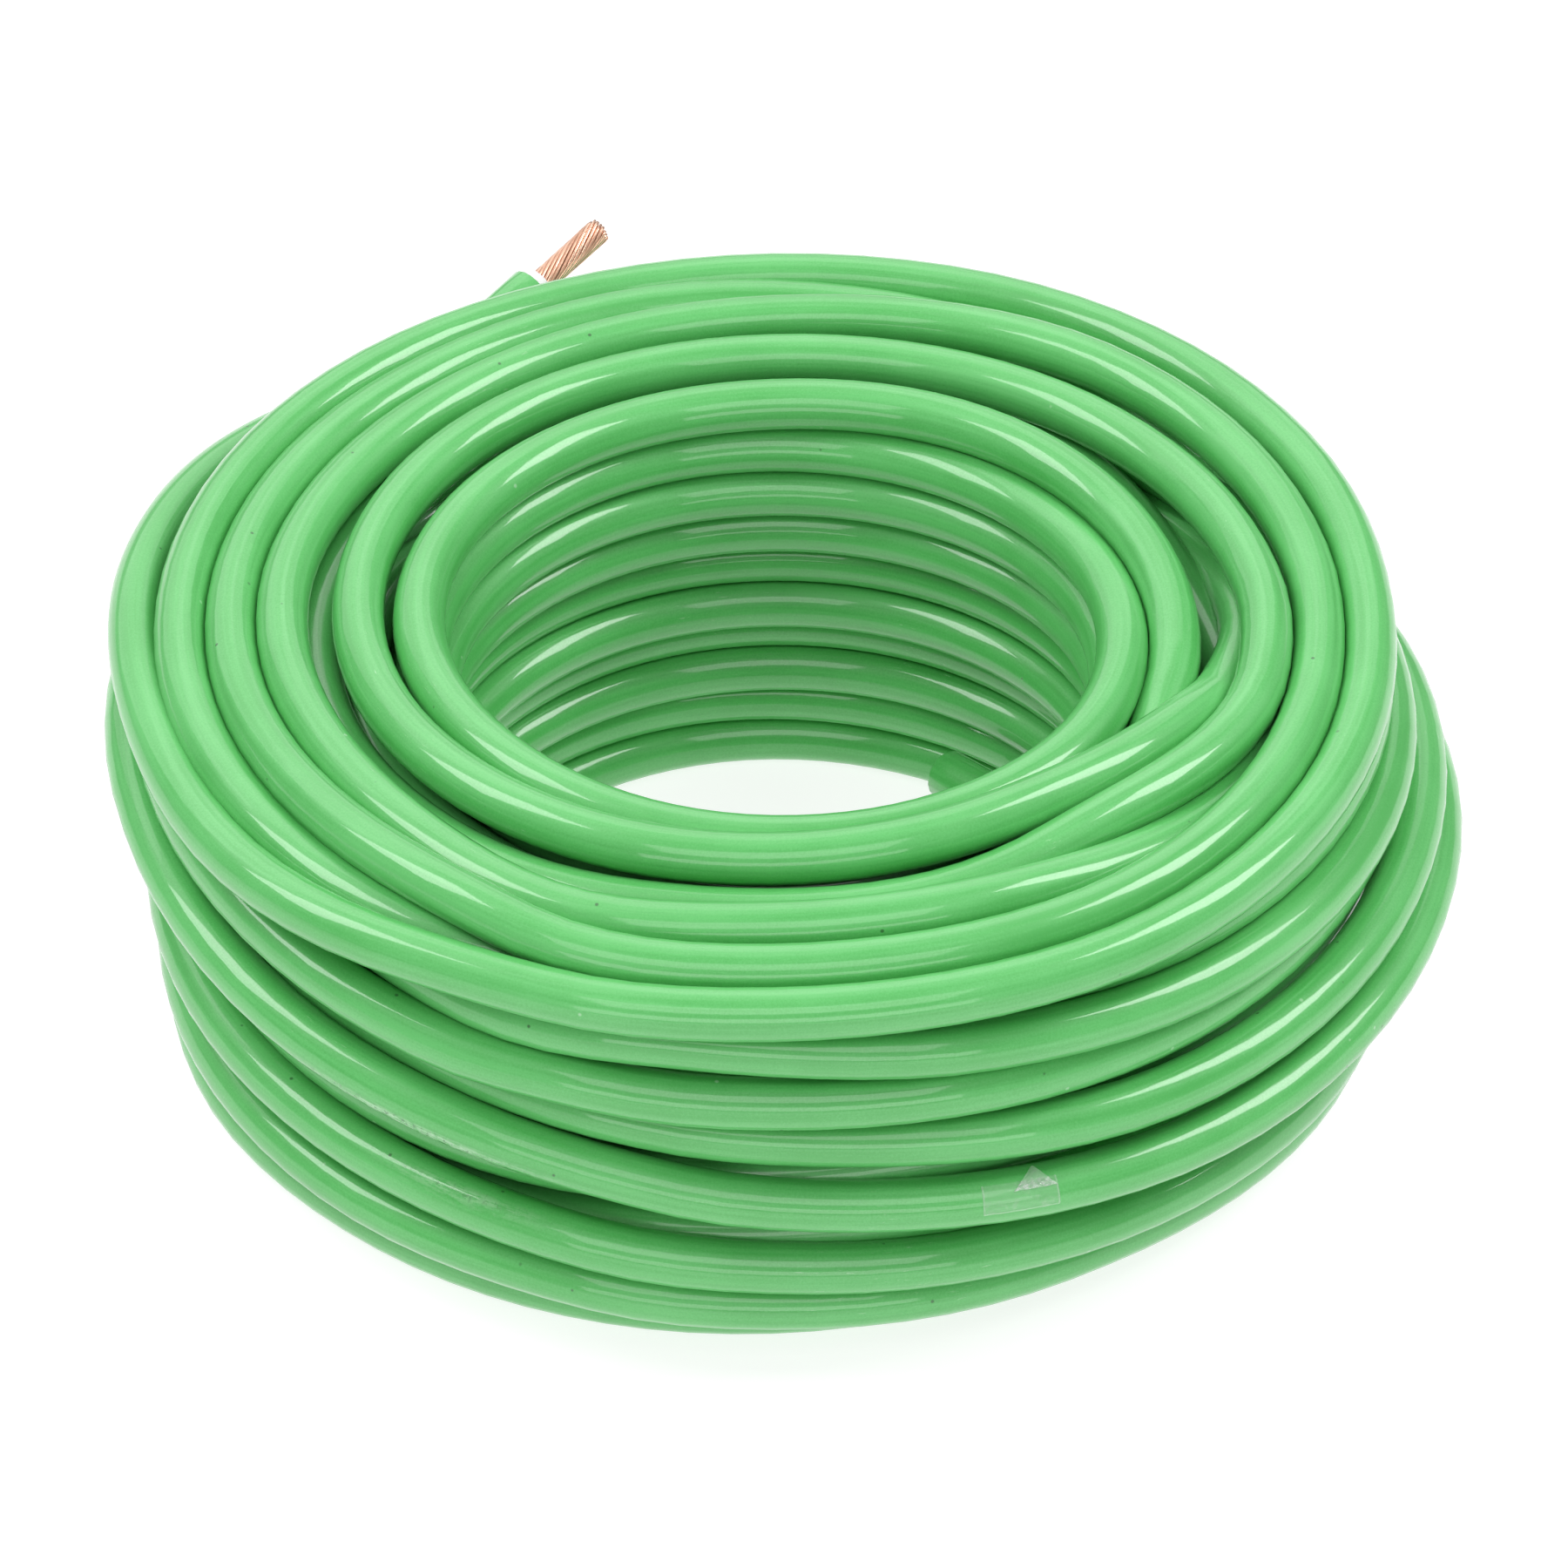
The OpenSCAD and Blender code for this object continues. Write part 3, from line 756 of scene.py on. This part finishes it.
def sheet_faces(wide, tall, first):
    """The faces of a thin closed sheet of two grids of points, its face and then its back: both grids'
    own faces and the ones round the rim."""
    face = first + np.arange(wide * tall).reshape(wide, tall)
    quads = np.stack([face[:-1, :-1], face[:-1, 1:], face[1:, 1:], face[1:, :-1]], 2).reshape(-1, 4)
    rim = np.concatenate([face[:, 0], face[-1, 1:], face[-2::-1, -1], face[0, -2:0:-1]])
    ahead = np.roll(rim, -1)
    back = wide * tall
    return np.concatenate([quads, quads[:, ::-1] + back, np.stack([rim, ahead, ahead + back, rim + back], 1)])


class COIL_OT_tape(bpy.types.Operator):
    """Lays the scrap of clear tape on the front of the coil, with its loose crumpled corner"""
    bl_idname = "coil.tape"
    bl_label = "Tape"

    def execute(self, context):
        sizes, colours = context.scene.coil_sizes, context.scene.coil_colours
        line = wire_line(sizes)
        angle = np.degrees(np.arctan2(line[:, 1], line[:, 0]))
        height = line[:, 2] / sizes.wire
        near = (np.abs(angle - TAPE_AT) < 2.5) & (np.abs(height - TAPE_HEIGHT) < 0.6)
        if not near.any():
            raise RuntimeError("there is no turn where the tape lies")
        # the turn that lies outermost there, six rings either way
        i = int(np.flatnonzero(near)[np.argmax(np.hypot(line[near, 0], line[near, 1]))])
        part = line[i - 6:i + 7]
        far = np.concatenate([[0], np.cumsum(np.linalg.norm(np.diff(part, axis=0), axis=1))])
        middle = np.interp(-TAPE_AT, -angle[i - 6:i + 7], far)

        def spread(at, places, values):
            """Vectors at some places along the wire, from the ones at other places."""
            return np.stack([np.interp(at, places, values[:, c]) for c in range(3)], -1)

        wide, tall = 34, 44     # points along the wire and round it
        at = middle + np.linspace(-0.5, 0.5, wide) * sizes.tape
        centre = through(at, far, part)
        where = np.linspace(far[0], far[-1], 60)
        along, side, over = frames(through(where, far, part))
        side, over = spread(at, where, side), spread(at, where, over)
        if np.dot(side[0], centre[0]) < 0:
            side = -side
        turn = np.radians(np.linspace(2, 66, tall))     # how far the tape reaches round the wire
        s, t = np.meshgrid(np.linspace(0, 1, wide), np.linspace(0, 1, tall), indexing="ij")
        wave = (np.sin(s * 23 + 3 * t) * np.sin(t * 17 - 2 * s) + 0.5 * np.sin(41 * s - 13 * t)) * 0.000035
        lift = 0.00006 + np.maximum(wave, -0.00003)

        def laid(centre, side, over, tilt, out):
            """The sheet's face and its back, at a tilt and a distance out from the wire's line."""
            way = np.cos(tilt)[..., None] * side + np.sin(tilt)[..., None] * over
            return np.stack([centre + (out - inwards)[..., None] * way for inwards in (0, TAPE_THICK)])

        flat = laid(centre[:, None], side[:, None], over[:, None], np.tile(turn, (wide, 1)), sizes.wire / 2 + lift)
        rim = np.minimum(np.minimum(s, 1 - s) * sizes.tape, t * 0.0038)     # distance to the nearest edge
        edge = np.clip(1 - rim / 0.0002, 0, 1)
        # the loose corner: a crumpled three-cornered fold that stands off the wire
        flap_wide, flap_tall = 26, 22
        u, v = np.meshgrid(np.linspace(0, 1, flap_wide), np.linspace(0, 1, flap_tall), indexing="ij")
        place = 0.30 + (u - 0.5) * 0.58 * (1 - 0.97 * v) - 0.02 * v
        tilt = np.radians(46 + 44 * v)
        stand = 0.0006 * v ** 0.8 + 0.00025 * np.sin(u * 17 + v * 9) * np.sin(v * 14 + u * 3) * (1 - v)
        share = np.linspace(0, 1, wide)
        flap = laid(*(spread(place, share, values) for values in (centre, side, over)), tilt,
                    sizes.wire / 2 + 0.00012 + np.maximum(stand, 0.00002))
        crumple = np.clip(np.sin(u * 21 + v * 8) * np.sin(v * 19 - u * 6) + 0.35, 0, 1)
        crumple = crumple * np.clip(1 - v / 0.5, 0, 1)
        flap_edge = np.clip(0.45 + 2.2 * crumple + np.clip(1 - np.minimum(u, 1 - u) / 0.08, 0, 1) * 0.3, 0, 1.9)
        faces = np.concatenate([sheet_faces(wide, tall, 0), sheet_faces(flap_wide, flap_tall, 2 * wide * tall)])
        if np.dot(np.cross(along[0], over[0]), side[0]) > 0:
            faces = faces[:, ::-1]
        piece = make_mesh("tape", np.concatenate([flat.reshape(-1, 3), flap.reshape(-1, 3)]), faces)
        edges = [values.ravel() for values in (edge, edge, flap_edge, flap_edge)]
        store(piece, "edge", "FLOAT", np.concatenate(edges))
        dress(piece, tape_material(colours))
        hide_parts("tape_scrap")
        return {"FINISHED"}


class COIL_OT_cord(bpy.types.Operator):
    bl_idname = "coil.cord"
    bl_label = "Cord"

    def execute(self, context):
        sizes = context.scene.coil_sizes
        line = wire_line(sizes)
        return {"FINISHED"}


class COIL_OT_stage(bpy.types.Operator):
    """Lays the plain pale floor and sets the soft studio light"""
    bl_idname = "coil.stage"
    bl_label = "Stage"

    def execute(self, context):
        scene = context.scene
        scene.view_settings.view_transform = "Standard"
        size = 4.0
        floor = make_mesh("floor", [(-size, -size, 0), (size, -size, 0), (size, size, 0), (-size, size, 0)],
                          [(0, 1, 2, 3)], smooth=False)
        net = Net("pale_floor")
        floor.data.materials.append(net.finish(net.node("ShaderNodeBsdfPrincipled", {}, {
            "Base Color": (0.3, 0.3, 0.3, 1.0), "Roughness": 0.8,
            "Emission Color": (1.0, 1.0, 1.0, 1.0), "Emission Strength": 0.8})))
        world = bpy.data.worlds.new("studio")
        world.use_nodes = True
        world.node_tree.nodes["Background"].inputs["Color"].default_value = (1.0, 1.0, 1.0, 1.0)
        world.node_tree.nodes["Background"].inputs["Strength"].default_value = 0.19
        scene.world = world

        for name, place, aim, width, height, power in LAMPS:
            data = bpy.data.lights.new(name, "AREA")
            data.shape = "RECTANGLE"
            data.size, data.size_y = width, height
            data.energy = power
            light = bpy.data.objects.new(name, data)
            scene.collection.objects.link(light)
            light.location = place
            light.rotation_euler = (Vector((0, 0, aim)) - Vector(place)).to_track_quat("-Z", "Y").to_euler()
        return {"FINISHED"}


class COIL_PT_panel(bpy.types.Panel):
    """Lists the coil's sizes and colours and the steps that make it"""
    bl_idname = "COIL_PT_panel"
    bl_label = "Wire Coil"
    bl_space_type = "VIEW_3D"
    bl_region_type = "UI"
    bl_category = "Wire Coil"

    def draw(self, context):
        for group in (context.scene.coil_sizes, context.scene.coil_colours):
            box = self.layout.box()
            for name in group.bl_rna.properties.keys():
                if name not in ("rna_type", "name"):
                    box.prop(group, name)
        for step in STEPS:
            self.layout.operator(step.bl_idname)


STEPS = (COIL_OT_camera, COIL_OT_wire, COIL_OT_insulation, COIL_OT_strands, COIL_OT_tape, COIL_OT_cord,
         COIL_OT_stage)
CLASSES = (CoilSizes, CoilColours, *STEPS, COIL_PT_panel)


def register():
    for item in CLASSES:
        bpy.utils.register_class(item)
    bpy.types.Scene.coil_sizes = bpy.props.PointerProperty(type=CoilSizes)
    bpy.types.Scene.coil_colours = bpy.props.PointerProperty(type=CoilColours)


def unregister():
    del bpy.types.Scene.coil_colours
    del bpy.types.Scene.coil_sizes
    for item in reversed(CLASSES):
        bpy.utils.unregister_class(item)


def main():
    """Makes every piece in order."""
    register()
    bpy.ops.coil.camera()
    bpy.ops.coil.wire()
    bpy.ops.coil.insulation()
    bpy.ops.coil.strands()
    bpy.ops.coil.tape()
    bpy.ops.coil.cord()
    bpy.ops.coil.stage()
    bpy.context.view_layer.update()


if __name__ == "__main__":
    main()
